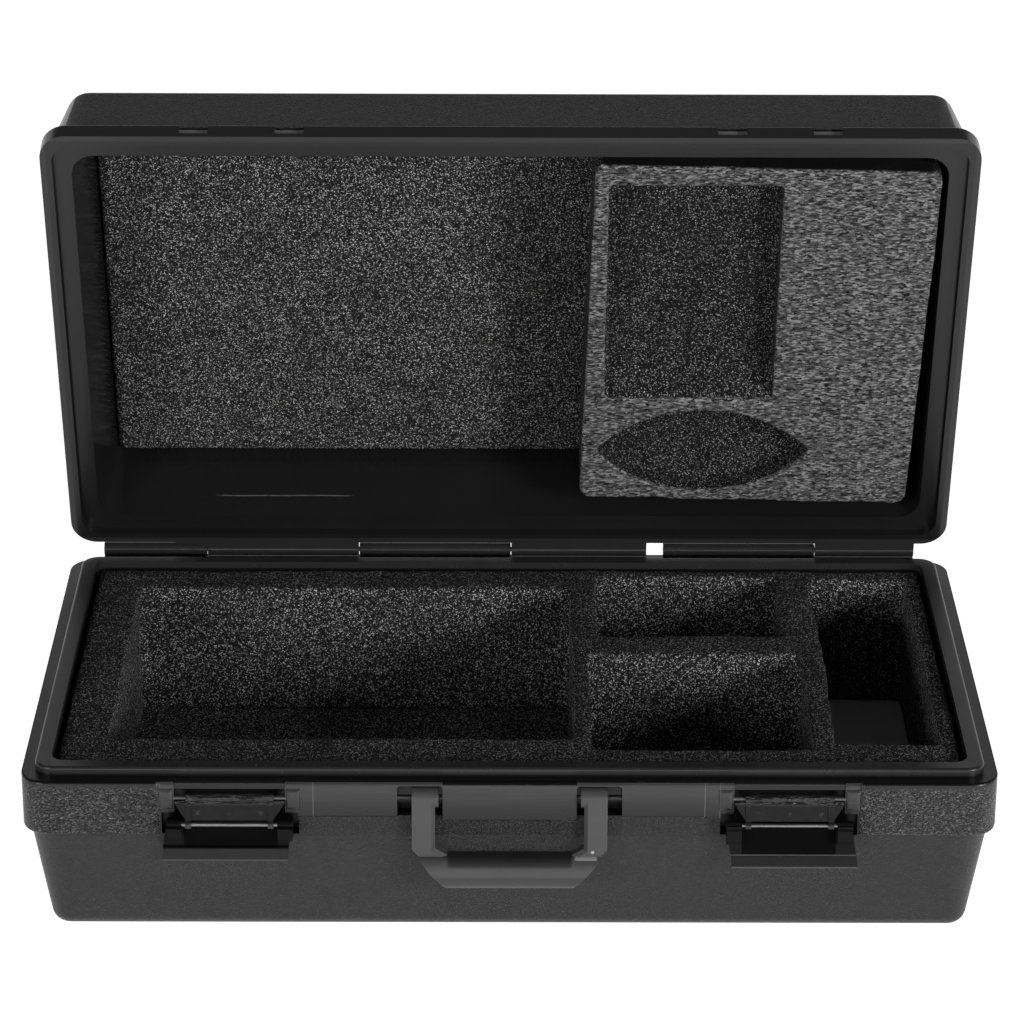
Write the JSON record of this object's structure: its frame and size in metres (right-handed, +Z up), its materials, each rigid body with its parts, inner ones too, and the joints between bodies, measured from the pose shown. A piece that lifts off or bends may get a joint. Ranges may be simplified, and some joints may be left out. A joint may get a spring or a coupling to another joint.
{
  "type": "tool case",
  "caption": "Moulded plastic tool case with a hinged lid, snap latches, a folding bail handle and cut foam in the base and lid.",
  "frame": {"origin": "middle of the flat underside the case stands on", "axes": "+X along the case to the right seen from the latches, +Y from the latches to the hinge, +Z up"},
  "size_m": [0.56, 0.3912, 0.4201],
  "materials": {
    "shell_plastic": "black moulded plastic with a leather grain outside and a smooth satin face inside",
    "handle_plastic": "charcoal moulded plastic, satin",
    "latch_plastic": "smooth black moulded plastic",
    "pin_steel": "drawn wire, dull",
    "foam": "charcoal open-cell foam",
    "foam_light": "grey sawn foam with fine horizontal streaks"
  },
  "bodies": {
    "base": {"base_shell": "shell_plastic", "hinge_rod_left": "pin_steel", "hinge_rod_right": "pin_steel", "left_handle_pin": "latch_plastic", "right_handle_pin": "latch_plastic", "left_latch_anchor_pin": "pin_steel", "right_latch_anchor_pin": "pin_steel", "base_foam_pad": "foam", "base_foam_insert": "foam"},
    "lid": {"lid_shell": "shell_plastic", "lid_foam_liner": "foam", "lid_foam_block": "foam_light"},
    "handle": {"handle": "handle_plastic"},
    "left_link": {"left_latch_link": "latch_plastic", "left_latch_catch_pin": "pin_steel"},
    "left_catch": {"left_latch_catch": "latch_plastic"},
    "right_link": {"right_latch_link": "latch_plastic", "right_latch_catch_pin": "pin_steel"},
    "right_catch": {"right_latch_catch": "latch_plastic"}
  },
  "joints": [
    {"name": "lid_hinge", "type": "hinge", "parent": "base", "child": "lid", "pos_m": [0, 0.1653, 0.1053], "axis": [1, 0, 0], "range_deg": [-31.6, 73.4]},
    {"name": "handle_swing", "type": "hinge", "parent": "base", "child": "handle", "pos_m": [0, -0.1545, 0.091], "axis": [-1, 0, 0], "range_deg": [0, 90]},
    {"name": "left_latch_swing", "type": "hinge", "parent": "base", "child": "left_link", "pos_m": [-0.16, -0.156, 0.091], "axis": [-1, 0, 0], "range_deg": [0, 138]},
    {"name": "left_catch_swing", "type": "hinge", "parent": "left_link", "child": "left_catch", "pos_m": [-0.16, -0.16262, 0.07743], "axis": [-1, 0, 0], "range_deg": [0, 51]},
    {"name": "right_latch_swing", "type": "hinge", "parent": "base", "child": "right_link", "pos_m": [0.16, -0.156, 0.091], "axis": [-1, 0, 0], "range_deg": [0, 138]},
    {"name": "right_catch_swing", "type": "hinge", "parent": "right_link", "child": "right_catch", "pos_m": [0.16, -0.16262, 0.07743], "axis": [-1, 0, 0], "range_deg": [-24, 27]}
  ]
}
